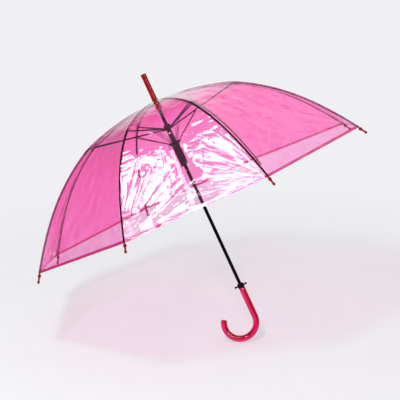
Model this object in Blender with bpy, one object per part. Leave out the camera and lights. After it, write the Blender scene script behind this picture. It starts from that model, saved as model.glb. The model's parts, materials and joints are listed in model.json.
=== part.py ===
"""Clear bubble umbrella, open. Metres, +Z up along the shaft.

The origin is on the shaft axis at the middle of the hand grip. Every rib set is drawn once in a radial
plane (X outward, Y across, Z up) and turned about the shaft axis to its place.
"""

import bpy
import bmesh
from math import atan2, cos, hypot, pi, radians, sin
from mathutils import Matrix, Vector

for o in list(bpy.data.objects):
    bpy.data.objects.remove(o, do_unlink=True)

RIBS = 8
FIRST_RIB = radians(-160.2)  # azimuth of rib 1; the others follow counter-clockwise

# Shaft line
Z_APEX = 0.6190  # film at the shaft
PIVOT_R = 0.0142  # all inner pivots
Z_NOTCH = 0.6134
JOINT = (0.2324, 0.5750)  # knee of each rib, radius and height
Z_UPPER = 2 * JOINT[1] - Z_NOTCH  # stretcher pivots on the upper runner, so that rib and stretcher are equal
Z_LOWER = 0.4933  # link pivots on the lower runner
SLEEVE_END = 0.4240
Z_CATCH, GRIP_TOP = 0.0545, 0.0487
HOOK_Z, HOOK_R, GRIP_R = -0.0396, 0.0452, 0.0088
HOOK_TURN = radians(208)
SHAFT_R, BORE_R = 0.00475, 0.0051
TIP = (0.5015, 0.3262)  # end of the rib's centreline
LINK_AT = 0.088  # along the stretcher from its inner pivot
BLADE_SLOT = 0.0016  # half width of a slot that takes a rib's or stretcher's blade
WIRE_SLOT = 0.0037  # half width of a pocket that takes a wire bail
EYE = (-0.00121, 0.00121)  # limits across a blade's round end
THROUGH = (-0.003, 0.003)  # limits across a pin hole
BAIL_R = 0.0006
FILM_UP = 0.0036  # film above the rib's centreline
FILM_T = 0.0005

ARM = hypot(JOINT[0] - PIVOT_R, Z_NOTCH - JOINT[1])
SLOPE = atan2(Z_NOTCH - JOINT[1], JOINT[0] - PIVOT_R)
BOW = 0.0085  # how far the upper rib and the film over it bow above the straight line, midway

parts = bpy.data.collections.new("clear_bubble_umbrella")
tools = bpy.data.collections.new("cutters")
for c in (parts, tools):
    bpy.context.scene.collection.children.link(c)

LOOKS = {
    "film": (0.95, 0.45, 0.70, 0.15),
    "red_plastic": (0.55, 0.02, 0.05, 0.3),
    "handle_plastic": (0.80, 0.05, 0.35, 0.2),
    "black_steel": (0.03, 0.03, 0.035, 0.35),
    "black_plastic": (0.04, 0.03, 0.04, 0.45),
    "rib_dark": (0.22, 0.02, 0.08, 0.35),
    "wire_steel": (0.30, 0.30, 0.32, 0.3),
    "strap": (0.93, 0.55, 0.72, 0.35),
}


def look(name, kind):
    r, g, b, rough = LOOKS[kind]
    m = bpy.data.materials.new(name)
    m.use_nodes = True
    s = m.node_tree.nodes["Principled BSDF"]
    s.inputs["Base Color"].default_value = (r, g, b, 1)
    s.inputs["Roughness"].default_value = rough
    s.inputs["Metallic"].default_value = 1.0 if kind in ("black_steel", "wire_steel") else 0.0
    m.diffuse_color = (r, g, b, 1)
    return m


def solid(name, bm, kind=None, turn=0.0):
    """A bmesh as an object: a part if it has a look, otherwise a cutter."""
    bmesh.ops.remove_doubles(bm, verts=bm.verts, dist=1e-7)
    bmesh.ops.recalc_face_normals(bm, faces=bm.faces)
    me = bpy.data.meshes.new(name)
    bm.to_mesh(me)
    bm.free()
    ob = bpy.data.objects.new(name, me)
    ob.rotation_euler.z = turn
    if kind:
        me.materials.append(look(name, kind))
        parts.objects.link(ob)
    else:
        tools.objects.link(ob)
        ob.hide_render = True
        ob.display_type = "WIRE"
    return ob


def combine(ob, other, how):
    m = ob.modifiers.new(other.name, "BOOLEAN")
    m.operation, m.solver, m.object = how, "EXACT", other
    other.parent = ob  # a cutter turns with the part that it shapes


def add(ob, name, bm):
    combine(ob, solid(name, bm), "UNION")


def cut(ob, name, bm):
    combine(ob, solid(name, bm), "DIFFERENCE")


def skin(bm, rings, closed=False):
    """Joins equal rings of points into a tube, with end caps unless it closes on itself."""
    v = [[bm.verts.new(p) for p in ring] for ring in rings]
    n = len(v[0])
    pairs = list(zip(v, v[1:])) + ([(v[-1], v[0])] if closed else [])
    for a, b in pairs:
        for i in range(n):
            j = (i + 1) % n
            bm.faces.new((a[i], a[j], b[j], b[i]))
    if not closed:
        bm.faces.new(v[0])
        bm.faces.new(v[-1])
    return bm


def turned(profile, seg=24, axis=None):
    """Solid of revolution from (radius, height) points; axis is a matrix that carries +Z to its place."""
    bm = bmesh.new()
    rings = [
        [Vector((r * cos(2 * pi * i / seg), r * sin(2 * pi * i / seg), z)) for i in range(seg)]
        for r, z in profile
    ]
    skin(bm, rings)
    if axis:
        bmesh.ops.transform(bm, matrix=axis, verts=bm.verts)
    return bm


def washer(profile, seg=24):
    """Solid of revolution from a closed loop of (radius, height) points, with a hole along the axis."""
    bm = bmesh.new()
    v = [
        [bm.verts.new((r * cos(2 * pi * i / seg), r * sin(2 * pi * i / seg), z)) for r, z in profile]
        for i in range(seg)
    ]
    n = len(profile)
    for i in range(seg):
        a, b = v[i], v[(i + 1) % seg]
        for k in range(n):
            bm.faces.new((a[k], a[(k + 1) % n], b[(k + 1) % n], b[k]))
    return bm


def block(x, y, z):
    """Box between pairs of limits."""
    bm = bmesh.new()
    corners = ((y[0], z[0]), (y[1], z[0]), (y[1], z[1]), (y[0], z[1]))
    return skin(bm, [[Vector((a, b, c)) for b, c in corners] for a in x])


def cross_pin(x, z, r, y, seg=10):
    """Cylinder along Y through (x, z)."""
    bm = bmesh.new()
    ring = [(x + r * cos(2 * pi * i / seg), z + r * sin(2 * pi * i / seg)) for i in range(seg)]
    skin(bm, [[Vector((a, t, b)) for a, b in ring] for t in y])
    return bm


def spar(stations, end=0.3):
    """Bar along X from (x, z, half width, half height) stations, long edges chamfered by the share end."""
    bm = bmesh.new()
    rings = []
    for x, z, w, h in stations:
        cw, ch = w * end, h * end
        outline = (
            (w, -h + ch), (w, h - ch), (w - cw, h), (-w + cw, h),
            (-w, h - ch), (-w, -h + ch), (-w + cw, -h), (w - cw, -h),
        )
        rings.append([Vector((x, a, z + b)) for a, b in outline])
    return skin(bm, rings)


def place(x, z, angle):
    """Carries the X axis of a radial-plane piece to start at (x, z) and climb at angle."""
    return Matrix.Translation((x, 0, z)) @ Matrix.Rotation(-angle, 4, "Y")


def moved(bm, m):
    bmesh.ops.transform(bm, matrix=m, verts=bm.verts)
    return bm


def azimuth(k):
    return FIRST_RIB + 2 * pi * k / RIBS


# ---------------------------------------------------------------- shaft, ferrule, notch
FER_TOP, SHAFT_TOP, SHAFT_BOTTOM, SHAFT_IN = 0.7006, 0.6560, 0.0100, 0.0039
wall = [(SHAFT_R, SHAFT_BOTTOM), (SHAFT_R, SHAFT_TOP), (SHAFT_IN, SHAFT_TOP), (SHAFT_IN, SHAFT_BOTTOM)]
solid("shaft_tube", washer(wall), "black_steel")
solid(
    "ferrule",
    turned([
        (0.0098, 0.6206), (0.0100, 0.6212), (0.0100, 0.6226), (0.0094, 0.6234), (0.0080, 0.6240),
        (0.0077, 0.6262), (0.0074, FER_TOP - 0.0120), (0.0078, FER_TOP - 0.0110),
        (0.0078, FER_TOP - 0.0012), (0.0068, FER_TOP),
    ], 32),
    "red_plastic",
)
cut(parts.objects["ferrule"], "ferrule_bore", turned([(BORE_R, 0.6190), (BORE_R, 0.6570)]))

notch = solid(
    "top_notch",
    washer([
        (BORE_R, 0.5955), (0.0078, 0.5955), (0.0084, 0.5965), (0.0084, 0.6060), (0.0172, 0.6080),
        (0.0172, 0.6166), (0.0166, 0.6172), (0.0070, 0.6176), (BORE_R, 0.6176),
    ], 40),
    "red_plastic",
)
RING_WIRE = 0.0006
ring, hoops = bmesh.new(), []
for a in (2 * pi * i / 40 for i in range(40)):
    hoop = []
    for b in (2 * pi * j / 5 for j in range(5)):
        r = PIVOT_R + RING_WIRE * cos(b)
        hoop.append(Vector((r * cos(a), r * sin(a), Z_NOTCH + RING_WIRE * sin(b))))
    hoops.append(hoop)
skin(ring, hoops, closed=True)
for k in range(RIBS):
    slot = block((0.0112, 0.030), (-BLADE_SLOT, BLADE_SLOT), (0.600, 0.6160))
    cut(notch, f"notch_slot_{k + 1}", moved(slot, Matrix.Rotation(azimuth(k), 4, "Z")))
add(notch, "notch_ring", ring)

# ---------------------------------------------------------------- runners and opening spring
upper = solid(
    "upper_runner",
    washer([
        (BORE_R, Z_UPPER - 0.0048), (0.0060, Z_UPPER - 0.0048), (0.0084, Z_UPPER - 0.0028),
        (0.0160, Z_UPPER - 0.0028), (0.0166, Z_UPPER - 0.0020), (0.0166, Z_UPPER + 0.0032),
        (0.0160, Z_UPPER + 0.0040), (0.0114, Z_UPPER + 0.0040), (0.0106, Z_UPPER + 0.0052),
        (0.0086, Z_UPPER + 0.0110), (0.0078, Z_UPPER + 0.0118), (BORE_R, Z_UPPER + 0.0118),
    ], 40),
    "black_plastic",
)
lower = solid(
    "lower_runner",
    washer([
        (BORE_R, SLEEVE_END), (0.0107, SLEEVE_END), (0.0113, SLEEVE_END + 0.0008),
        (0.0113, SLEEVE_END + 0.0030), (0.0104, SLEEVE_END + 0.0036), (0.0104, SLEEVE_END + 0.0140),
        (0.0110, SLEEVE_END + 0.0150), (0.0113, Z_LOWER - 0.0120), (0.0113, Z_LOWER - 0.0050),
        (0.0172, Z_LOWER - 0.0040), (0.0178, Z_LOWER - 0.0032), (0.0178, Z_LOWER + 0.0020),
        (0.0172, Z_LOWER + 0.0028), (0.0090, Z_LOWER + 0.0028), (0.0060, Z_LOWER + 0.0046),
        (BORE_R, Z_LOWER + 0.0046),
    ], 40),
    "black_plastic",
)
for k in range(RIBS):
    turn = Matrix.Rotation(azimuth(k), 4, "Z")
    at_upper = (Z_UPPER - 0.006, Z_UPPER + 0.006)
    by_upper = (Z_UPPER - 0.008, Z_UPPER + 0.007)
    at_lower = (Z_LOWER - 0.007, Z_LOWER + 0.006)
    for runner, name, start, half, height in (
        (upper, "upper_slot", 0.0116, BLADE_SLOT, at_upper),
        (upper, "upper_pass", 0.0139, WIRE_SLOT, by_upper),
        (lower, "lower_pass", 0.01145, BLADE_SLOT, at_lower),
        (lower, "lower_slot", 0.0132, WIRE_SLOT, at_lower),
    ):
        cut(runner, f"{name}_{k + 1}", moved(block((start, 0.030), (-half, half), height), turn))

SPRING_LOW, SPRING_HIGH = Z_LOWER + 0.0056, Z_UPPER - 0.0058
COIL_R, WIRE_R, TURNS, PER_TURN = 0.0068, 0.00055, 10, 11
curve = bpy.data.curves.new("opening_spring", "CURVE")
curve.dimensions, curve.use_fill_caps = "3D", True
curve.bevel_depth, curve.bevel_resolution = WIRE_R, 2
line = curve.splines.new("POLY")
count = TURNS * PER_TURN + 1
line.points.add(count - 1)
for i in range(count):
    t = i / (count - 1)
    a = 2 * pi * TURNS * t
    ends = min(t, 1 - t) * TURNS  # the last turn at each end lies nearly flat
    rise = t if ends > 1 else (t - (1 - ends) * 0.06 * (1 if t < 0.5 else -1))
    z = SPRING_LOW + (SPRING_HIGH - SPRING_LOW) * min(1, max(0, rise))
    line.points[i].co = (COIL_R * cos(a), COIL_R * sin(a), z, 1)
spring = bpy.data.objects.new("opening_spring", curve)
curve.materials.append(look("opening_spring", "wire_steel"))
parts.objects.link(spring)

# ---------------------------------------------------------------- catch at the top of the grip
housing = solid(
    "catch_housing",
    washer([
        (BORE_R, 0.0490), (0.0088, 0.0490), (0.0092, 0.0494), (0.0092, 0.0594), (0.0084, 0.0602),
        (0.0066, 0.0612), (BORE_R, 0.0612),
    ], 40),
    "black_plastic",
)
cut(housing, "catch_slot", block((-0.020, 0.020), (-0.0076, 0.0076), (Z_CATCH - 0.0030, Z_CATCH + 0.0030)))
bar = block((-0.0102, 0.0102), (-0.0072, 0.0072), (Z_CATCH - 0.0026, Z_CATCH + 0.0026))
latch = solid("release_latch", bar, "black_plastic")
window = bmesh.new()
loop = [(0.0032 + 0.0052 * cos(a), 0.0052 * sin(a)) for a in (-pi / 2 + pi * i / 10 for i in range(11))]
loop += [(-0.0002 - 0.0052 * cos(a), -0.0052 * sin(a)) for a in (-pi / 2 + pi * i / 10 for i in range(11))]
skin(window, [[Vector((x, y, z)) for x, y in loop] for z in (Z_CATCH - 0.006, Z_CATCH + 0.006)])
cut(latch, "latch_window", window)
nub = [
    (0.0019, 0.0), (0.0019, 0.0032), (0.0027, 0.0040), (0.0032, 0.0054), (0.0031, 0.0068),
    (0.0024, 0.0080), (0.0012, 0.0087),
]
for side, name in ((1, "near_ball"), (-1, "far_ball")):
    outward = Matrix.Translation((side * 0.0097, 0, Z_CATCH)) @ Matrix.Rotation(side * pi / 2, 4, "Y")
    add(latch, name, turned(nub, 20, outward))

# ---------------------------------------------------------------- hook handle and its end plug
SEG, STEPS = 18, 26
bend = [
    (0.0, 0.0, GRIP_TOP, 0.0084), (0.0, 0.0, GRIP_TOP - 0.0008, GRIP_R),
    (0.0, 0.0, 0.0150, GRIP_R), (0.0, 0.0, -0.0150, GRIP_R),
]
for i in range(STEPS + 1):
    a = -HOOK_TURN * i / STEPS
    bend.append((a, -HOOK_R + HOOK_R * cos(a), HOOK_Z + HOOK_R * sin(a), GRIP_R))
rings = []
for a, x, z, r in bend:
    ring = [(r * cos(b), r * sin(b)) for b in (2 * pi * i / SEG for i in range(SEG))]
    rings.append([Vector((x + u * cos(a), v, z + u * sin(a))) for u, v in ring])
grip = bmesh.new()
skin(grip, rings)
handle = solid("handle", grip, "handle_plastic")
cut(handle, "handle_bore", turned([(BORE_R, 0.0092), (BORE_R, 0.0520)]))
end_at = Matrix.Translation((-HOOK_R + HOOK_R * cos(-HOOK_TURN), 0, HOOK_Z + HOOK_R * sin(-HOOK_TURN)))
end_at = end_at @ Matrix.Rotation(HOOK_TURN, 4, "Y") @ Matrix.Rotation(pi, 4, "X")
cut(handle, "plug_seat", turned([(0.0052, -0.0090), (0.0052, 0.0030)], 20, end_at))
solid(
    "handle_end_plug",
    turned([
        (0.0042, -0.0082), (0.0048, -0.0076), (0.0048, 0.0004), (0.0086, 0.0004), (0.0088, 0.0012),
        (0.0085, 0.0030), (0.0066, 0.0046), (0.0030, 0.0053),
    ], 24, end_at),
    "handle_plastic",
)


# ---------------------------------------------------------------- rib line
def bow(x):
    """Height of the bowed upper rib above its straight line, x metres out from its pivot."""
    f = min(1.0, max(0.0, x / (ARM - 0.0150)))
    return 4 * BOW * f * (1 - f)


def bezier(t):
    """Centreline of the lower rib: leaves the knee at 26 degrees below level and ends at 55.5."""
    a, b = radians(26), radians(55.5)
    reach = 0.36 * hypot(TIP[0] - JOINT[0], TIP[1] - JOINT[1])
    start, end = Vector(JOINT), Vector(TIP)
    p = [start, start + reach * Vector((cos(a), -sin(a))), end - reach * Vector((cos(b), -sin(b))), end]
    q = [(1 - t) ** 3, 3 * t * (1 - t) ** 2, 3 * t * t * (1 - t), t**3]
    d = [-3 * (1 - t) ** 2, 3 * (1 - t) ** 2 - 6 * t * (1 - t), 6 * t * (1 - t) - 3 * t * t, 3 * t * t]
    at = sum((w * v for w, v in zip(q, p)), Vector((0, 0)))
    return at, sum((w * v for w, v in zip(d, p)), Vector((0, 0))).normalized()


def rib_frame(t):
    p, d = bezier(t)
    return p, d, Vector((-d.y, d.x))


END_DIR = bezier(1)[1]
START_DIR = bezier(0)[1]

for k in range(RIBS):
    n, turn = k + 1, azimuth(k)

    # Upper rib: flat spar from the notch to the knee, ending in two ears that carry the knee pin
    at = place(PIVOT_R, Z_NOTCH, -SLOPE)
    reach = [0.0040 + (ARM - 0.0190) * i / 7 for i in range(8)]
    stations = [(-0.0016, 0, 0.0012, 0.0011)] + [(x, bow(x), 0.0012, 0.0012) for x in reach]
    stations.append((ARM - 0.0100, 0, 0.0012, 0.0012))
    rib = solid(f"upper_rib_{n}", moved(spar(stations), at), "rib_dark", turn)
    add(rib, f"upper_eye_{n}", moved(cross_pin(0, 0, 0.0021, EYE), at))
    bridge = block((ARM - 0.0150, ARM - 0.0090), (-0.0034, 0.0034), (-0.0003, 0.0019))
    add(rib, f"upper_bridge_{n}", moved(bridge, at))
    for side in (-1, 1):
        y = sorted((side * 0.0026, side * 0.00345))
        ear = block((ARM - 0.0145, ARM), y, (-0.0006, 0.0018))
        add(rib, f"upper_ear_{n}_{side}", moved(ear, at))
        ear_end = cross_pin(ARM, 0, 0.0022, [y[0] - 1e-5, y[1] + 1e-5])
        add(rib, f"upper_ear_end_{n}_{side}", moved(ear_end, at))
    add(rib, f"knee_pin_{n}", moved(cross_pin(ARM, 0, 0.0008, (-0.0040, 0.0040), 8), at))
    cut(rib, f"notch_eye_hole_{n}", moved(cross_pin(0, 0, 0.0011, THROUGH, 8), at))

    # Lower rib: curved spar with two long ears round the stretcher
    stations = []
    for i in range(10):
        t = 0.040 + (1 - 0.040) * i / 9
        p, d, _ = rib_frame(t)
        w, h = 0.0017 - 0.0004 * t, 0.0014 - 0.0003 * t
        stations.append((p, d, w, h))
    p, d, _ = rib_frame(1)
    stations.append((p + d * 0.0056, d, 0.0013, 0.0011))
    bm, rings = bmesh.new(), []
    for p, d, w, h in stations:
        up = Vector((-d.y, d.x))
        outline = (
            (w, -h * 0.6), (w, h * 0.6), (w * 0.6, h), (-w * 0.6, h),
            (-w, h * 0.6), (-w, -h * 0.6), (-w * 0.6, -h), (w * 0.6, -h),
        )
        rings.append([Vector(((p + up * b).x, a, (p + up * b).y)) for a, b in outline])
    skin(bm, rings)
    low = solid(f"lower_rib_{n}", bm, "rib_dark", turn)
    near = place(JOINT[0], JOINT[1], atan2(START_DIR.y, START_DIR.x))
    bridge = block((0.0155, 0.0200), (-0.0023, 0.0023), (-0.0016, 0.0016))
    add(low, f"lower_bridge_{n}", moved(bridge, near))
    for side in (-1, 1):
        y = sorted((side * 0.0015, side * 0.00235))
        add(low, f"lower_ear_{n}_{side}", moved(block((0, 0.0190), y, (-0.0018, 0.0018)), near))
        ear_end = cross_pin(0, 0, 0.0021, [y[0] - 1e-5, y[1] + 1e-5])
        add(low, f"lower_ear_end_{n}_{side}", moved(ear_end, near))
    cut(low, f"lower_hole_{n}", moved(cross_pin(0, 0, 0.0011, THROUGH, 8), near))

    # Tip cap: bead at the canopy corner, stem and knob, pushed on the rib's end
    lean = Matrix.Rotation(pi / 2 - atan2(END_DIR.y, END_DIR.x), 4, "Y")
    cap_at = Matrix.Translation((TIP[0], 0, TIP[1])) @ lean
    cap = solid(
        f"rib_tip_{n}",
        turned([
            (0.0028, -0.0046), (0.0037, -0.0038), (0.0045, -0.0018), (0.0046, 0.0004),
            (0.0041, 0.0026), (0.0029, 0.0044), (0.0024, 0.0060), (0.0024, 0.0128),
            (0.0033, 0.0145), (0.0035, 0.0180), (0.0026, 0.0198), (0.0010, 0.0204),
        ], 12, cap_at),
        "red_plastic",
        turn,
    )
    cut(cap, f"tip_bore_{n}", turned([(0.0020, -0.0060), (0.0020, 0.0062)], 10, cap_at))

    # Stretcher from the upper runner to the knee
    up = place(PIVOT_R, Z_UPPER, SLOPE)
    stretch = solid(
        f"stretcher_{n}",
        moved(spar([
            (0, 0, 0.0012, 0.0014), (0.0300, 0, 0.0012, 0.0014), (0.0320, 0, 0.0018, 0.0016),
            (ARM - 0.0230, 0, 0.0018, 0.0016), (ARM - 0.0210, 0, 0.0012, 0.0013),
            (ARM - 0.0005, 0, 0.0012, 0.0013),
        ], 0.15), up),
        "black_steel",
        turn,
    )
    add(stretch, f"stretcher_foot_{n}", moved(cross_pin(0, 0, 0.0022, EYE), up))
    add(stretch, f"stretcher_eye_{n}", moved(cross_pin(ARM, 0, 0.0022, EYE), up))
    cut(stretch, f"stretcher_hole_{n}", moved(cross_pin(ARM, 0, 0.0011, THROUGH, 8), up))
    cut(stretch, f"link_hole_{n}", moved(cross_pin(LINK_AT, 0, 0.0009, THROUGH, 8), up))

    # Wire bail from the stretcher down to the lower runner
    start = Vector((PIVOT_R + LINK_AT * cos(SLOPE), Z_UPPER + LINK_AT * sin(SLOPE)))
    finish = Vector((PIVOT_R, Z_LOWER))
    run = (finish - start).length
    side_y, corner = 0.0028, 0.0009
    inset, short = corner * 0.3, side_y - corner
    path = [
        (corner, side_y), (run - corner, side_y), (run - inset, side_y - inset), (run, short),
        (run, -short), (run - inset, -side_y + inset), (run - corner, -side_y), (corner, -side_y),
        (inset, -side_y + inset), (0, -short), (0, short), (inset, side_y - inset),
    ]
    bm, rings = bmesh.new(), []
    for i, (x, y) in enumerate(path):
        before, after = Vector(path[i - 1]), Vector(path[(i + 1) % len(path)])
        here = Vector((x, y))
        along = ((here - before).normalized() + (after - here).normalized()).normalized()
        side = Vector((-along.y, along.x))
        wire = [(BAIL_R * cos(b), BAIL_R * sin(b)) for b in (pi * j / 3 for j in range(6))]
        rings.append([Vector((x + side.x * u, y + side.y * u, v)) for u, v in wire])
    skin(bm, rings, closed=True)
    link_at = place(start.x, start.y, atan2((finish - start).y, (finish - start).x))
    solid(f"spring_link_{n}", moved(bm, link_at), "wire_steel", turn)

# ---------------------------------------------------------------- canopy film
HALF = pi / RIBS


def film_line(s):
    """Outer-side film line above a rib: s from 0 at the shaft to 1 at the knee, then to 2 at the hem."""
    inner = (0.0112, Z_APEX)
    up = Vector((sin(SLOPE), cos(SLOPE)))
    n0 = rib_frame(0)[2]
    knee = Vector(JOINT) + FILM_UP * (up + n0).normalized()
    if s <= 1:
        return Vector(inner).lerp(knee, s) + up * (4 * BOW * s * (1 - s))
    t = (s - 1) * 0.9865
    p, d, nrm = rib_frame(t)
    return p + nrm * FILM_UP if t > 0 else knee


def film_normal(s):
    e = 1e-3
    a, b = film_line(max(0, s - e)), film_line(min(2, s + e))
    d = (b - a).normalized()
    return Vector((-d.y, d.x))


def film_point(s, u, off):
    """Point of the film in the radial plane's frame, u from -1 to 1 across the half gores beside the rib."""
    p, nrm = film_line(s), film_normal(s)
    r, z = p.x + nrm.x * off, p.y + nrm.y * off
    y = u * (r * sin(2 * HALF) / 2)
    flat = Vector((cos(2 * HALF) - 1, sin(2 * HALF))) * abs(u) / 2 * r
    return Vector((r + flat.x, y if u >= 0 else -flat.y, z))


def sheet(name, ss, us, kind, turn):
    bm = bmesh.new()
    faces = {}
    for side, off in (("out", FILM_T / 2), ("in", -FILM_T / 2)):
        faces[side] = [[bm.verts.new(film_point(s, u, off)) for u in us] for s in ss]
    for side in faces.values():
        for i in range(len(ss) - 1):
            for j in range(len(us) - 1):
                bm.faces.new((side[i][j], side[i][j + 1], side[i + 1][j + 1], side[i + 1][j]))
    o, q = faces["out"], faces["in"]
    for i in range(len(ss) - 1):
        for j in (0, len(us) - 1):
            bm.faces.new((o[i][j], o[i + 1][j], q[i + 1][j], q[i][j]))
    for j in range(len(us) - 1):
        for i in (0, len(ss) - 1):
            bm.faces.new((o[i][j], o[i][j + 1], q[i][j + 1], q[i][j]))
    return solid(name, bm, kind, turn)


crown = bmesh.new()
stack = []
steps = [0.0, 0.2, 0.4, 0.6, 0.8, 0.9985]
for off, s in [(FILM_T / 2, s) for s in steps] + [(-FILM_T / 2, s) for s in reversed(steps)]:
    row = []
    for k in range(RIBS):
        p, nrm = film_line(s), film_normal(min(0.97, max(0.03, s)))
        r, z = p.x + nrm.x * off, p.y + nrm.y * off
        row.append(Vector((r * cos(azimuth(k)), r * sin(azimuth(k)), z)))
    stack.append(row)
skin(crown, stack, closed=True)
solid("canopy_crown", crown, "film")

edge = 1 - 0.0010
for k in range(RIBS):
    rows = [1.0012 + 0.9988 * i / 10 for i in range(11)]
    sheet(f"canopy_panel_{k + 1}", rows, [-edge, -0.5, 0, 0.5, edge], "film", azimuth(k))

# Closure strap on the mid line of the front gore, between ribs 2 and 3
strap, mid = bmesh.new(), azimuth(1) + HALF
across = Vector((-sin(mid), cos(mid), 0))
rings = []
for i in range(15):
    s = 1.40 + 0.54 * i / 14
    p, nrm = film_line(s), film_normal(s)
    out = Vector((cos(mid), sin(mid), 0))
    centre = out * (p.x * cos(HALF)) + Vector((0, 0, p.y))
    normal = (out * nrm.x + Vector((0, 0, nrm.y * cos(HALF)))).normalized()
    w = 0.0042 * (1 if i < 13 else (0.85 if i == 13 else 0.45))
    under, over = centre + normal * 0.0009, centre + normal * 0.0017
    rings.append([under - across * w, under + across * w, over + across * w, over - across * w])
skin(strap, rings)
solid("closure_strap", strap, "strap")
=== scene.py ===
import json
from math import atan2, cos, hypot, pi, radians, sin

import bmesh
import bpy
import numpy as np
from mathutils import Matrix, Vector


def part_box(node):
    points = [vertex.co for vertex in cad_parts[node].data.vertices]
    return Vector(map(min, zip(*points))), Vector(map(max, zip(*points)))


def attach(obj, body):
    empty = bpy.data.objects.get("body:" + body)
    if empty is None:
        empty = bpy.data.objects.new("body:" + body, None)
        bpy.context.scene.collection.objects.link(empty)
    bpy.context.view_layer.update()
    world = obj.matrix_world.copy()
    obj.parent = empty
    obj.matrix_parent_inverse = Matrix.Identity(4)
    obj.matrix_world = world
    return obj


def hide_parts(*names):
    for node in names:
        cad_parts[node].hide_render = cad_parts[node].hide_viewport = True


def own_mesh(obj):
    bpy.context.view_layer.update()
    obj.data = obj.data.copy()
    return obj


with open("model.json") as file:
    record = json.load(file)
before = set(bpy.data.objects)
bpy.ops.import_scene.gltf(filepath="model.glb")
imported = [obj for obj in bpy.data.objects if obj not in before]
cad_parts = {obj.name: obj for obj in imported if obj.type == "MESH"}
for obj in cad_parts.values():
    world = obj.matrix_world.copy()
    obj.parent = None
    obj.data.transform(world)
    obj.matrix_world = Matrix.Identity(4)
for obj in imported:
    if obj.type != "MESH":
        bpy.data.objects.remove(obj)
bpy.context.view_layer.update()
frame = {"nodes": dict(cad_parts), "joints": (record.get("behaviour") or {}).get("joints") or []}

# Open umbrella of clear pink film. The CAD bodies are painted here, and the film, the strap, the hook grip
# and the coil spring are modelled here in place of their plain CAD solids.
nodes = frame["nodes"]
joints = {j["name"]: j for j in frame["joints"]}
scene = bpy.context.scene
RIBS = 8
STEP = 2 * pi / RIBS


def joint_at(name):
    return Vector(joints[name]["pos_m"])


def placed(at, x, y, z):
    """Matrix of an object at a point, with its three axes along x, y and z."""
    return Matrix.Translation(at) @ Matrix((x, y, z)).transposed().to_4x4()


# ------------------------------------------------------------------ camera
# The part leans in the picture, so the camera is rolled about its own axis and the part stays upright.
ELEVATION = radians(3.9)
ROLL = radians(-24.84)
AWAY = 3.426
AIM_UNDER_APEX = 0.300
SENSOR, LENS = 36, 111.105  # mm

back = Vector((0, -cos(ELEVATION), sin(ELEVATION)))
right = Vector((1, 0, 0))
up = back.cross(right)
cam_right = right * cos(ROLL) + up * sin(ROLL)
cam_up = up * cos(ROLL) - right * sin(ROLL)
aim = Vector((-0.003, 0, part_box("canopy_crown")[1].z - AIM_UNDER_APEX))
cam = bpy.data.objects.new("camera", bpy.data.cameras.new("camera"))
scene.collection.objects.link(cam)
cam.matrix_world = placed(aim + back * AWAY, cam_right, cam_up, back)
cam.data.sensor_width = SENSOR
cam.data.lens = LENS
cam.data.clip_start = 0.05
cam.data.clip_end = 60
scene.camera = cam


# ------------------------------------------------------------------ node helpers
class Tree:
    """Short names for building the nodes of a material or a world."""

    def __init__(self, owner, output="OutputMaterial"):
        owner.use_nodes = True
        self.owner = owner
        self.tree = owner.node_tree
        self.tree.nodes.clear()
        self.end = self.node(output)

    def node(self, kind, **sets):
        """Adds a node. p_NAME sets a property, i0 and so on an input by number, the rest inputs by name."""
        n = self.tree.nodes.new("ShaderNode" + kind)
        for key, value in sets.items():
            if key.startswith("p_"):
                setattr(n, key[2:], value)
            elif key[0] == "i" and key[1:].isdigit():
                self.feed(n.inputs[int(key[1:])], value)
            else:
                self.feed(n.inputs[key.replace("_", " ")], value)
        return n

    def out(self, kind, **sets):
        return self.node(kind, **sets).outputs[0]

    def feed(self, socket, value):
        if isinstance(value, bpy.types.NodeSocket):
            self.tree.links.new(value, socket)
        elif isinstance(value, (tuple, list)) and len(value) == 3 and socket.type == "RGBA":
            socket.default_value = (*value, 1)
        else:
            socket.default_value = value

    def math(self, op, a, b=0.0):
        return self.out("Math", p_operation=op, i0=a, i1=b)

    def times(self, a, b):
        return self.math("MULTIPLY", a, b)

    def plus(self, a, b):
        return self.math("ADD", a, b)

    def vector(self, op, **sets):
        return self.out("VectorMath", p_operation=op, **sets)

    def length(self, v):
        return self.node("VectorMath", p_operation="LENGTH", i0=v).outputs["Value"]

    def ramp(self, value, low, high, a=0.0, b=1.0):
        """Runs from a to b while the value runs from low to high, and stays level past them."""
        return self.out("MapRange", i0=value, i1=low, i2=high, i3=a, i4=b)

    def mix(self, share, a, b):
        return self.node("Mix", p_data_type="RGBA", i0=share, i6=a, i7=b).outputs[2]

    def noise(self, scale, detail=3.0, rough=0.5, at=None, twist=0.0):
        n = self.node("TexNoise", Scale=scale, Detail=detail, Roughness=rough, Distortion=twist)
        self.feed(n.inputs["Vector"], self.place() if at is None else at)
        return n.outputs["Fac"]

    def place(self, stretch=(1, 1, 1)):
        return self.out("Mapping", Vector=self.node("TexCoord").outputs["Object"], Scale=stretch)

    def bump(self, height, strength, distance, over=None):
        n = self.node("Bump", Strength=strength, Distance=distance, Height=height)
        if over is not None:
            self.feed(n.inputs["Normal"], over)
        return n.outputs[0]

    def done(self, shader):
        self.tree.links.new(shader, self.end.inputs[0])
        return self.owner


# ------------------------------------------------------------------ materials
STEEPEST = 0.42  # light's path through the film grows with the slant of the view, down to this cosine
ONE_FACE = 0.04  # what one face of the film mirrors, seen square on
CREASES_ROUND, CREASES_OUT = 24.0, 9.0  # how fine the creases are round the tip and along their length
CREASES_END = (0.13, 0.27)  # distances from the tip between which creases give way to crinkles
# a patch that the black runner is seen through, in metres from the tip, each side with its soft edge
PATCH_RIGHT, PATCH_LEFT, PATCH_LOW = (-0.096, -0.116), (-0.186, -0.176), (0.108, 0.126)


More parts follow.
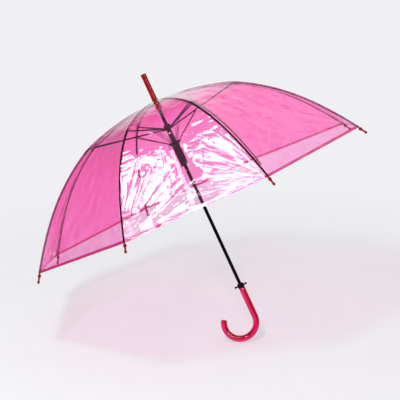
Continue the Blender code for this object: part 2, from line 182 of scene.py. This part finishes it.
def creased(t, tip, facing):
    """Normals of finely creased film: narrow facets turn aside and miss the light that the rest mirrors.
    The creases radiate from the rib's tip, and further up they break into crinkles."""
    place, angles, across = tip
    crinkle = t.noise(32.0, 4.0, 0.62, t.place((1, 1, 0.7)), 1.4)
    local = t.node("Mapping", p_vector_type="TEXTURE", Location=place, Rotation=angles)
    t.feed(local.inputs["Vector"], t.node("TexCoord").outputs["Object"])
    axis = t.node("SeparateXYZ", i0=local.outputs[0]).outputs
    reach = t.length(local.outputs[0])
    heading = t.math("ARCTAN2", axis[1], t.math("ABSOLUTE", axis[0]))
    side = t.math("GREATER_THAN", axis[0], 0.0)
    ray = t.out("CombineXYZ", X=t.times(heading, CREASES_ROUND), Y=t.times(reach, CREASES_OUT), Z=side)
    rays = t.noise(1.0, 4.0, 0.6, ray, 0.3)
    blend = t.ramp(reach, *CREASES_END)
    pattern = t.plus(t.times(rays, t.math("SUBTRACT", 1.0, blend)), t.times(crinkle, blend))
    # the patch is nearly all facets, so the runner shows through it without glare
    strip = t.times(t.ramp(axis[0], *PATCH_RIGHT), t.ramp(axis[0], *PATCH_LEFT))
    patch = t.times(strip, t.ramp(axis[1], *PATCH_LOW))
    plain = t.times(patch, t.ramp(crinkle, 0.35, 0.5, 0.6, 1.0))
    facet = t.math("MAXIMUM", t.ramp(pattern, 0.492, 0.560), plain)
    leaning = t.times(facet, t.ramp(facing, 0.35, 0.7, 0.42, 0.0))
    aside = t.vector("SCALE", i0=across, Scale=leaning)
    return t.vector("NORMALIZE", i0=t.vector("ADD", i0=t.node("NewGeometry").outputs["Normal"], i1=aside))


def film(name, tint, milk=0.04, tip=None, glint=1.0):
    """Tinted clear film. The tint deepens with light's path through it, and both faces mirror at a slant.
    tip is for creased film: the place and turn of the rib's tip, and the direction across the rib."""
    t = Tree(bpy.data.materials.new(name))
    cloud = t.noise(7.0, 3.0, 0.55)
    fine = t.noise(150.0, 3.0, 0.6)
    facing = t.node("LayerWeight", Blend=0.5).outputs["Facing"]
    turned = creased(t, tip, facing) if tip else None
    bumped = t.bump(t.plus(cloud, t.times(fine, 0.02)), 1.0, 0.0100, turned)

    slant = t.math("MAXIMUM", t.math("SUBTRACT", 1.0, facing), STEEPEST)
    path = t.math("DIVIDE", t.ramp(cloud, 0.3, 0.7, 0.94, 1.08), slant)
    dimmed = {channel: t.math("POWER", v, path) for channel, v in zip(("Red", "Green", "Blue"), tint)}
    clear = t.out("BsdfTransparent", Color=t.out("CombineColor", **dimmed))
    front = t.out("BsdfDiffuse", Color=(1.0, 0.25, 0.60), Normal=bumped)
    through = t.out("BsdfTranslucent", Color=(1.0, 0.15, 0.55), Normal=bumped)
    veil = t.out("MixShader", i0=0.5, i1=front, i2=through)
    body = t.out("MixShader", i0=milk, i1=clear, i2=veil)

    gloss = t.out("BsdfGlossy", Color=(1, 1, 1), Roughness=t.ramp(fine, 0.3, 0.7, 0.03, 0.09), Normal=bumped)
    one_face = t.plus(t.times(t.math("POWER", facing, 5.0), 1 - ONE_FACE), ONE_FACE)
    both_faces = t.math("DIVIDE", t.times(one_face, 2.0 * glint), t.plus(one_face, 1.0))
    return t.done(t.out("MixShader", i0=both_faces, i1=body, i2=gloss))


def plastic(name, colour, dark, rough, grain=260.0, depth=0.00012, painted_shade=None, **more):
    """Moulded plastic: slow colour drift, fine surface grain and rubbed gloss. The colour given as
    painted_shade is painted shade:
    the translucent plastic's upper right side is darkened towards it, as if the light soaking into it came
    only from the other side."""
    t = Tree(bpy.data.materials.new(name))
    drift = t.noise(22.0, 2.0)
    fine = t.noise(grain, 4.0, 0.6)
    tone = t.mix(t.ramp(drift, 0.3, 0.75), colour, dark)
    if painted_shade:
        # painted shade: the side whose normal points along +x and +z takes the shade colour
        normal = t.node("SeparateXYZ", i0=t.node("TexCoord").outputs["Normal"]).outputs
        tone = t.mix(t.ramp(t.plus(normal[0], normal[2]), -0.05, 0.45), tone, painted_shade)
    more.update(Base_Color=tone, Roughness=t.ramp(fine, 0.3, 0.7, *rough), Normal=t.bump(fine, 0.35, depth))
    return t.done(t.out("BsdfPrincipled", **more))


def enamel(name, colour, worn, rough=(0.22, 0.42), metal=0.0, spec=0.3):
    """Paint on steel: orange-peel grain, and worn streaks along the length."""
    t = Tree(bpy.data.materials.new(name))
    streak = t.noise(60.0, 4.0, 0.65, t.place((1, 1, 0.12)))
    tone = t.mix(t.ramp(streak, 0.58, 0.74, 0.0, 0.6), colour, worn)
    sheen = t.ramp(streak, 0.3, 0.7, *rough)
    peel = t.bump(t.noise(420.0), 0.3, 0.00010)
    paint_on = {"Base_Color": tone, "Roughness": sheen, "Metallic": metal, "Normal": peel}
    return t.done(t.out("BsdfPrincipled", Specular_IOR_Level=spec, **paint_on))


def steel(name, colour, rough=(0.18, 0.34)):
    """Drawn wire: bright metal with fine lengthwise draw marks."""
    t = Tree(bpy.data.materials.new(name))
    mark = t.noise(300.0, 4.0, 0.7, t.place((1, 1, 0.2)))
    tone = t.mix(t.ramp(mark, 0.35, 0.7), colour, tuple(c * 0.6 for c in colour))
    sheen = t.ramp(mark, 0.3, 0.7, *rough)
    drawn = t.bump(mark, 0.25, 0.00008)
    return t.done(t.out("BsdfPrincipled", Base_Color=tone, Metallic=1.0, Roughness=sheen, Normal=drawn))


# painted glow: the film's red passes at more than full strength, so it gives out a little more red light than
# reaches it
TINT = (1.05, 0.637, 0.868)  # one layer seen square on, its red raised to make up for the light lost in two
SEAM = film("welded_film", (0.20, 0.010, 0.06), milk=0.01, glint=0.3)
SEAM_TOP = film("welded_film_top", (0.60, 0.14, 0.32), milk=0.01, glint=0.3)
STRAP = film("strap_clear", (1.0, 0.80, 0.92), milk=0.16, glint=0.6)
HEM = film("hem_film", (0.80, 0.20, 0.48), milk=0.10)
# cap_red: its last colour is painted shade on the upper right side
RED = plastic(
    "cap_red", (0.40, 0.002, 0.006), (0.24, 0.001, 0.006), (0.10, 0.22), painted_shade=(0.16, 0.0005, 0.002),
    Specular_IOR_Level=0.22, Coat_Weight=0.5, Coat_Roughness=0.05,
)
# grip_magenta: its last colour, a dark red, is painted shade on the upper right side
GRIP = plastic(
    "grip_magenta", (0.80, 0.0015, 0.14), (0.66, 0.0010, 0.08), (0.10, 0.20), 180.0, 0.00010,
    painted_shade=(0.30, 0.0003, 0.006), Specular_IOR_Level=0.10, Coat_Weight=0.6, Coat_Roughness=0.04,
)
BLACK = plastic(
    "runner_black", (0.008, 0.003, 0.006), (0.016, 0.006, 0.011), (0.30, 0.46), Specular_IOR_Level=0.12,
)
SHAFT = enamel("shaft_black", (0.003, 0.003, 0.004), (0.010, 0.010, 0.011), (0.20, 0.34), spec=0.05)
ARM = enamel("stretcher_black", (0.010, 0.001, 0.006), (0.030, 0.006, 0.018), spec=0.08)
RIB = enamel("rib_maroon", (0.07, 0.002, 0.02), (0.14, 0.01, 0.04), spec=0.12)
RIB_TOP = enamel("rib_grey", (0.10, 0.05, 0.08), (0.20, 0.12, 0.16), (0.25, 0.4), 0.4, 0.15)
WIRE = steel("dark_wire", (0.10, 0.05, 0.09))
SPRING = steel("spring_wire", (0.10, 0.085, 0.10), (0.25, 0.4))

PAINTS = (
    (("ferrule", "top_notch", "rib_tip"), RED),
    (("lower_rib",), RIB),
    (("upper_rib",), RIB_TOP),
    (("stretcher",), ARM),
    (("spring_link",), WIRE),
    (("upper_runner", "lower_runner", "catch_housing", "release_latch"), BLACK),
    (("shaft_tube",), SHAFT),
    (("handle_end_plug",), GRIP),
)


def paint(ob, mat):
    ob.data.materials.clear()
    ob.data.materials.append(mat)
    for p in ob.data.polygons:
        p.use_smooth = True
    ob.data.set_sharp_from_angle(angle=radians(38))


for name, ob in nodes.items():
    for starts, mat in PAINTS:
        if name.startswith(starts):
            paint(ob, mat)


# ------------------------------------------------------------------ mesh helpers
def piece(name, verts, faces, mat, body, normals=None):
    """A smooth mesh that rides a body. An open sheet has a normal for each point and faces along them."""
    me = bpy.data.meshes.new(name)
    me.from_pydata([tuple(v) for v in verts], [], faces)
    me.materials.append(mat)
    ob = bpy.data.objects.new(name, me)
    scene.collection.objects.link(ob)
    for p in me.polygons:
        p.use_smooth = True
    if normals is not None:
        if sum(p.normal.dot(Vector(normals[p.vertices[0]])) for p in me.polygons) < 0:
            me.flip_normals()
        me.normals_split_custom_set_from_vertices([tuple(n) for n in normals])
    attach(ob, body)
    return ob


def quads(rows, cols):
    """Faces of a sheet of rows times cols points."""
    faces = []
    for i in range(rows - 1):
        for a in range(i * cols, i * cols + cols - 1):
            faces.append((a, a + 1, a + cols + 1, a + cols))
    return faces


def tube_faces(rings, sides):
    """Faces of a tube of rings of points, with both ends capped."""
    faces = []
    for i in range(rings - 1):
        for j in range(sides):
            k = (j + 1) % sides
            faces.append((i * sides + j, i * sides + k, (i + 1) * sides + k, (i + 1) * sides + j))
    faces.append(tuple(reversed(range(sides))))
    faces.append(tuple(range((rings - 1) * sides, rings * sides)))
    return faces


# ------------------------------------------------------------------ canopy shape, from the joints' places
knee = joint_at("rib_bend_1")
pivot = joint_at("rib_fold_1")
FIRST = atan2(knee.y, knee.x)
KNEE = np.array((hypot(knee.x, knee.y), knee.z))
PIVOT = np.array((hypot(pivot.x, pivot.y), pivot.z))
TIP = np.array((0.5015, 0.3262))  # end of the lower rib's centreline, radius and height
LEAVING, ARRIVING = radians(26), radians(55.5)  # how steeply the lower rib falls at the knee and at the tip
FILM_UP = 0.0034  # film above the ribs' centrelines
APEX = np.array((0.0108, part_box("canopy_crown")[1].z - 0.0004))
SLOPE = atan2(PIVOT[1] - KNEE[1], KNEE[0] - PIVOT[0])
HEM_AT = 0.9865  # the hem's place on the lower rib
BOW = 0.0085  # rise of the film over the upper rib, midway
ROUNDING = 0.035  # reach of the rounding over the knee


def rib_curve(t):
    """Points and normals of the lower rib's centreline as (radius, height), t from 0 at the knee to 1."""
    pull = 0.36 * np.hypot(*(TIP - KNEE))
    a = KNEE + pull * np.array((cos(LEAVING), -sin(LEAVING)))
    b = TIP - pull * np.array((cos(ARRIVING), -sin(ARRIVING)))
    t = t[:, None]
    pos = (1 - t) ** 3 * KNEE + 3 * t * (1 - t) ** 2 * a + 3 * t * t * (1 - t) * b + t**3 * TIP
    d = 3 * (1 - t) ** 2 * (a - KNEE) + 6 * t * (1 - t) * (b - a) + 3 * t * t * (TIP - b)
    d /= np.linalg.norm(d, axis=1)[:, None]
    return pos, np.stack([-d[:, 1], d[:, 0]], axis=1)


def bent_line(s):
    """Film above a rib as (radius, height): s is 0 at the shaft, 1 at the knee and 2 at the hem."""
    over_upper = np.array((sin(SLOPE), cos(SLOPE)))
    over_lower = rib_curve(np.zeros(1))[1][0]
    between = (over_upper + over_lower) / np.linalg.norm(over_upper + over_lower)
    mid = KNEE + between * FILM_UP
    inner = APEX + (mid - APEX) * np.minimum(s, 1)[:, None] + over_upper * (4 * BOW * s * (1 - s))[:, None]
    pos, nrm = rib_curve(np.clip(s - 1, 0, 1.2) * HEM_AT)
    outer = pos + nrm * FILM_UP
    outer += (mid - (KNEE + over_lower * FILM_UP)) * np.clip(1 - (s - 1) / 0.1, 0, 1)[:, None]
    return np.where(s[:, None] <= 1, inner, outer)


def line(s):
    """The same, with the turn over the knee rounded."""
    near = np.clip(1 - np.abs(s - 1) / 0.09, 0, 1) * ROUNDING
    return sum(0.25 * bent_line(s + shift * near) for shift in (-1, -0.5, 0.5, 1))


STATIONS = np.linspace(0, 2, 401)
strides = np.diff(line(STATIONS), axis=0)
LENGTHS = np.cumsum([0, *np.hypot(strides[:, 0], strides[:, 1])])
ARC = LENGTHS[-1]


def along(s):
    """Length of film from the shaft to s."""
    return np.interp(s, STATIONS, LENGTHS)


def gore_width(s):
    return 2 * float(line(np.array([s]))[0, 0]) * sin(STEP / 2)


# ------------------------------------------------------------------ film, drawn between the ribs
rng = np.random.default_rng(11)


def draw_waves(count, shortest, longest):
    """Random waves, each with its heading, phase, length and share."""
    waves = []
    for _ in range(count):
        heading, phase = rng.uniform(0, 2 * pi), rng.uniform(0, 2 * pi)
        waves.append((heading, phase, rng.uniform(shortest, longest), rng.uniform(0.5, 1.0)))
    return waves


WAVES = draw_waves(26, 0.030, 0.075)
FINE_WAVES = draw_waves(30, 0.010, 0.024)
TUNE = rng.uniform(0, 2 * pi, (RIBS, 8))
HEM_WIDTH = gore_width(2.0)
DIP = 0.0050  # how far the film dips in the middle of a gore
FAN_DEEP, FAN_REACH = 0.0017, 0.13  # creases fanning from the tips
PUCKER_DEEP, PUCKER_REACH = 0.00055, 0.020  # puckers beside the seams
WAVE_DEEP, FINE_DEEP = 0.0010, 0.00022


def ripples(x, y, waves, turn):
    total = np.zeros_like(x)
    for heading, phase, size, share in waves:
        h = heading + turn
        total += share * np.sin(2 * pi * (x * cos(h) + y * sin(h)) / size + phase + 3 * turn)
    return total / np.sqrt(len(waves))


def fan_creases(x, to_hem, tip_x, phase, next_phase):
    dx = x - tip_x
    rho = np.hypot(dx, to_hem) + 1e-6
    psi = np.arctan2(to_hem, np.abs(dx) + 1e-6)
    fan = np.sin(psi * 15 + phase) + 0.6 * np.sin(psi * 27 + next_phase)
    return FAN_DEEP * fan * np.exp(-rho / FAN_REACH) * np.clip(rho / 0.03, 0, 1)


def seam_puckers(edge, y, phase):
    pucker = np.sin(2 * pi * y / 0.024 + phase) + 0.7 * np.sin(2 * pi * y / 0.0145 + 2 * phase + 25 * edge)
    return PUCKER_DEEP * pucker * np.exp(-edge / PUCKER_REACH) * np.clip(edge / 0.006, 0, 1)


def film_at(gore, g, s):
    """Points of gore number gore (from rib gore to the next), g across it from 0 to 1."""
    p = line(s)
    a0, a1 = FIRST + gore * STEP, FIRST + (gore + 1) * STEP
    from_rib, to_rib = np.array((cos(a0), sin(a0))), np.array((cos(a1), sin(a1)))
    flat = (1 - g)[:, None] * from_rib + g[:, None] * to_rib
    base = np.concatenate([flat * p[:, :1], p[:, 1:]], axis=1)
    mid = (a0 + a1) / 2
    d = line(s + 1e-3) - line(s - 1e-3)
    d /= np.linalg.norm(d, axis=1)[:, None]
    outward = np.stack([-d[:, 1] * cos(mid), -d[:, 1] * sin(mid), d[:, 0]], axis=1)
    width = 2 * p[:, 0] * sin(STEP / 2)
    x, y = (g - 0.5) * width, along(s)
    to_hem = ARC - y

    middle = 4 * g * (1 - g)  # 0 on the ribs, 1 midway
    free = np.clip((s - 0.25) / 0.9, 0, 1)  # 0 round the shaft
    off_hem = np.clip(to_hem / 0.02, 0, 1)
    soft = middle**0.7
    tune = TUNE[gore % RIBS]
    move = -DIP * middle * free * off_hem**0.5 * (0.35 + 0.65 * np.clip(to_hem / 0.25, 0, 1))
    move += fan_creases(x, to_hem, -0.5 * HEM_WIDTH, tune[0], tune[1]) * soft
    move += fan_creases(x, to_hem, 0.5 * HEM_WIDTH, tune[4], tune[5]) * soft
    move += seam_puckers(x + width / 2, y, tune[2]) * free
    move += seam_puckers(width / 2 - x, y, tune[6]) * free
    slow = ripples(x, y * 0.6, WAVES, tune[3])
    quick = ripples(x, y, FINE_WAVES, tune[7])
    move += (WAVE_DEEP * slow + FINE_DEEP * quick) * soft * free * (0.4 + 0.6 * off_hem)
    return base + outward * move[:, None]


def on_rib(k, s, u):
    """Film points about rib k and their normals; u runs from -1 to 1 between the middles of its two gores."""

    def at(s, u):
        before = film_at((k - 1) % RIBS, 1 + np.minimum(u, 0) / 2, s)
        after = film_at(k, np.maximum(u, 0) / 2, s)
        return np.where((u < 0)[:, None], before, after)

    n = np.cross(at(s + 2e-3, u) - at(s - 2e-3, u), at(s, u + 0.02) - at(s, u - 0.02))
    n /= np.linalg.norm(n, axis=1)[:, None]
    n[n[:, 2] < 0] *= -1
    return at(s, u), n


ACROSS = np.concatenate([-np.linspace(1, 0, 19), np.linspace(0, 1, 19)[1:]])
INNER = np.linspace(0.0, 1.0, 26)
OUTER = np.linspace(1.0, 2.0, 80)
HEM_DEEP, HEM_UNDER = 0.0066, 0.0006
SEAM_HALF, SEAM_OVER = 0.0022, 0.0005


def sheet(name, k, stations, mat, body, off=0.0):
    """Film about rib k between the middles of its two gores, off above the film's own surface."""
    s, u = np.meshgrid(stations, ACROSS, indexing="ij")
    pts, nrm = on_rib(k, s.ravel(), u.ravel())
    return piece(name, pts + nrm * off, quads(len(stations), len(ACROSS)), mat, body, nrm)


def seam(name, k, stations, mat, body):
    """Welded seam, a doubled strip over the rib."""
    columns = np.array((-1.0, -0.4, 0.4, 1.0))
    half = np.minimum(SEAM_HALF / (line(stations)[:, 0] * sin(STEP / 2)), 0.3)
    pts, nrm = on_rib(k, np.repeat(stations, len(columns)), (half[:, None] * columns).ravel())
    return piece(name, pts + nrm * SEAM_OVER, quads(len(stations), len(columns)), mat, body, nrm)


def fold_to_rib(ob):
    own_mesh(ob)


def panel(k):
    """Rib k's share of the canopy, with its hem and welded seams."""
    n = k + 1
    upper, lower = f"upper_rib_{n}", f"lower_rib_{n}"
    turn = FIRST + k * STEP
    rim = line(np.array([2.0]))[0]
    place = (rim[0] * cos(turn), rim[0] * sin(turn), rim[1])
    tip = (place, (radians(50), 0, turn + pi / 2), (-sin(turn), cos(turn), 0))
    mat = film(f"film_{n}", TINT, tip=tip)
    inner = sheet(f"film_inner_{n}", k, INNER, mat, upper)
    outer = sheet(f"film_outer_{n}", k, OUTER, mat, lower)
    hem_stations = np.linspace(2.0 - HEM_DEEP / (ARC / 2), 2.0, 3)
    hem = sheet(f"film_hem_{n}", k, hem_stations, HEM, lower, -HEM_UNDER)
    inner_seam = seam(f"film_seam_inner_{n}", k, INNER, SEAM_TOP, upper)
    outer_seam = seam(f"film_seam_outer_{n}", k, OUTER, SEAM, lower)
    made = (inner, outer, hem, inner_seam, outer_seam)
    for ob in made:
        fold_to_rib(ob)
    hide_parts("canopy_crown")
    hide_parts(f"canopy_panel_{n}")
    for ob, width, length, with_pieces in (
        (inner, gore_width(1.0), float(along(1.0)), [inner_seam]),
        (outer, gore_width(2.0), float(ARC - along(1.0)), [hem, outer_seam]),
    ):
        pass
    return made


def strap():
    """Closure strap on the front gore, a ribbon with a round end."""
    half_width, rows = 0.0046, 60
    stations = np.linspace(1.40, 1.955, rows)
    base, nrm = on_rib(1, stations, np.ones(rows))
    mid = FIRST + 1.5 * STEP
    across = np.array((-sin(mid), cos(mid), 0))
    to_end = np.clip(np.linspace(0.19, 0, rows) / half_width, 0.01, 1)
    half = half_width * np.sqrt(1 - (1 - to_end) ** 2)
    columns = (-1, -0.82, -0.6, 0.6, 0.82, 1)
    pts = []
    for i in range(rows):
        for c in columns:
            lift = 0.0017 if abs(c) > 0.7 else 0.0012
            pts.append(base[i] + across * c * half[i] + nrm[i] * lift)
    normals = np.repeat(nrm, len(columns), axis=0)
    ob = piece("strap_film", pts, quads(rows, len(columns)), STRAP, "lower_rib_2", normals)
    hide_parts("closure_strap")
    fold_to_rib(ob)
    return ob


film_pieces = [ob for k in range(RIBS) for ob in panel(k)]
film_pieces.append(strap())

# ------------------------------------------------------------------ hook grip and coil spring
HOOK_Z, HOOK_R, HOOK_TURN = -0.0396, 0.0452, radians(208)
GRIP_R, GRIP_TOP = 0.0088, 0.0487
PARTING_LINE = 0.00022  # height of the fine ridge on the two sides of the moulding


def hook():
    sides, bend_steps, straight_steps = 40, 96, 14
    shoulder = GRIP_TOP - 0.0008
    rows = [(0.0, (0, GRIP_TOP), 0.0078), (0.0, (0, GRIP_TOP - 0.0002), 0.0083), (0.0, (0, shoulder), GRIP_R)]
    for i in range(1, straight_steps):
        rows.append((0.0, (0, shoulder - (shoulder - HOOK_Z) * i / straight_steps), GRIP_R))
    for i in range(bend_steps + 1):
        a = -HOOK_TURN * i / bend_steps
        end_edge = 0.0004 if i == bend_steps else 0.0
        rows.append((a, (-HOOK_R + HOOK_R * cos(a), HOOK_Z + HOOK_R * sin(a)), GRIP_R - end_edge))
    verts = []
    for a, (x, z), radius in rows:
        for b in (2 * pi * j / sides for j in range(sides)):
            r = radius + PARTING_LINE * max(0.0, 1 - abs(abs(sin(b)) - 1) * 180)
            verts.append(Vector((x + r * cos(b) * cos(a), r * sin(b), z + r * cos(b) * sin(a))))
    ob = piece("hook_grip", verts, tube_faces(len(rows), sides), GRIP, "umbrella")
    ob.data.set_sharp_from_angle(angle=radians(50))
    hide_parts("handle")


def coil():
    """The opening spring between the runners, with flat end turns."""
    low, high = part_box("opening_spring")
    wire, turns, per_turn, sides = 0.0007, 26, 26, 8
    flatten = 0.06  # how hard an end turn is pressed flat against its end
    radius = (high.x - low.x) / 2 - wire
    bottom, top = low.z + wire, high.z - wire
    rings = turns * per_turn + 1
    verts = []
    for i in range(rings):
        t = i / (rings - 1)
        a = 2 * pi * turns * t
        from_end = min(t, 1 - t) * turns
        climb = t if from_end > 1 else t - (1 - from_end) * flatten * (1 if t < 0.5 else -1)
        z = bottom + (top - bottom) * min(1, max(0, climb))
        for b in (2 * pi * j / sides for j in range(sides)):
            r = radius + wire * cos(b)
            verts.append((r * cos(a), r * sin(a), z + wire * sin(b)))
    ob = piece("coil_spring", verts, tube_faces(rings, sides), SPRING, "upper_runner")
    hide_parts("opening_spring")
    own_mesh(ob)


hook()
coil()

# ------------------------------------------------------------------ studio: floor, world, lamps
FLOOR_LIFT = radians(16.5)  # the picture looks down on the floor by this much
FLOOR_R, FADE_FROM, FADE_TO = 1.9, 0.75, 1.75
FLOOR_GLOW = 0.46  # share of the floor's light that is its own


def floor():
    """A round floor under the hook, tilted towards the camera and fading into the world at its edge."""
    floor_up = (cam_up * cos(FLOOR_LIFT) + back * sin(FLOOR_LIFT)).normalized()
    in_hook_plane = Vector((floor_up.x, 0, floor_up.z)).normalized()
    touch = Vector((-HOOK_R, 0, HOOK_Z)) - in_hook_plane * HOOK_R - floor_up * GRIP_R
    floor_x = (right - floor_up * right.dot(floor_up)).normalized()
    me = bpy.data.meshes.new("floor")
    bm = bmesh.new()
    bmesh.ops.create_circle(bm, cap_ends=True, segments=96, radius=FLOOR_R)
    bm.to_mesh(me)
    bm.free()
    ob = bpy.data.objects.new("floor", me)
    scene.collection.objects.link(ob)
    ob.matrix_world = placed(touch, floor_x, floor_up.cross(floor_x), floor_up)

    t = Tree(bpy.data.materials.new("pale_floor"))
    fade = t.ramp(t.length(t.place()), FADE_FROM, FADE_TO)
    unseen = t.math("MAXIMUM", fade, t.node("NewGeometry").outputs["Backfacing"])
    tone = t.mix(t.ramp(t.noise(9.0), 0.4, 0.6), (0.795, 0.80, 0.795), (0.81, 0.815, 0.81))
    matte = t.out("BsdfDiffuse", Color=tone)
    glow = t.out("Emission", Color=(0.875, 0.885, 0.905))
    pale = t.out("MixShader", i0=FLOOR_GLOW, i1=matte, i2=glow)
    me.materials.append(t.done(t.out("MixShader", i0=unseen, i1=pale, i2=t.out("BsdfTransparent"))))


def studio():
    """A white sweep behind and a dark room in front. Only mirror-like surfaces see the dark room."""
    scene.world = bpy.data.worlds.new("studio")
    t = Tree(scene.world, "OutputWorld")
    towards = t.node("TexCoord").outputs["Generated"]
    behind = t.node("VectorMath", p_operation="DOT_PRODUCT", i0=towards, i1=(0.8, 1.0, 0.0)).outputs["Value"]
    room = t.ramp(behind, 0.70, 1.0, 0.14, 1.0)
    rays = t.node("LightPath").outputs
    sweep = t.ramp(rays["Is Diffuse Ray"], 0.0, 1.0, 1.0, 0.8)
    strength = t.out("Mix", i0=rays["Is Glossy Ray"], i2=sweep, i3=room)
    t.done(t.out("Background", Color=(0.871, 0.871, 0.896), Strength=strength))


def lamp(name, where, target, size, power):
    data = bpy.data.lights.new(name, "AREA")
    data.shape = "RECTANGLE"
    data.size, data.size_y = size
    data.energy = power
    ob = bpy.data.objects.new(name, data)
    scene.collection.objects.link(ob)
    ob.visible_camera = False
    ob.location = where
    ob.rotation_mode = "QUATERNION"
    ob.rotation_quaternion = (target - where).to_track_quat("-Z", "Y")
    return ob


def glint_only(ob, name, receivers):
    """Lets a lamp show as a reflection on the given objects and do nothing else."""
    ob.visible_diffuse = False
    group = bpy.data.collections.new(name)
    for receiver in receivers:
        group.objects.link(receiver)
    ob.light_linking.receiver_collection = group


floor()
studio()
front_film = Vector((0, -0.35, 0.45))
key_at = front_film + Vector((0.03, -0.72, 0.70)) * 2.4
lamp("key_box", key_at, front_film, size=(0.34, 0.34), power=44.5)
glare_at = front_film + Vector((0, -0.23, 0.973)) * 1.6
glare = lamp("top_box", glare_at, front_film, size=(0.80, 0.98), power=25)
glint_only(glare, "film_only", film_pieces)
# a tall narrow lamp that the moulded plastic mirrors as one thin line
strip_at = Vector((0.72, -1.30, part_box("ferrule")[1].z))
strip = lamp("strip_box", strip_at, Vector((0, 0, 0.3)), size=(0.17, 1.8), power=30)
MOULDED = ("ferrule", "top_notch", "hook_grip", "handle_end")
moulded = [ob for ob in bpy.data.objects if ob.type == "MESH" and ob.name.startswith(MOULDED)]
glint_only(strip, "moulded_only", moulded)

scene.view_settings.view_transform = "Standard"
scene.cycles.transparent_max_bounces = 32
scene.cycles.max_bounces = 16
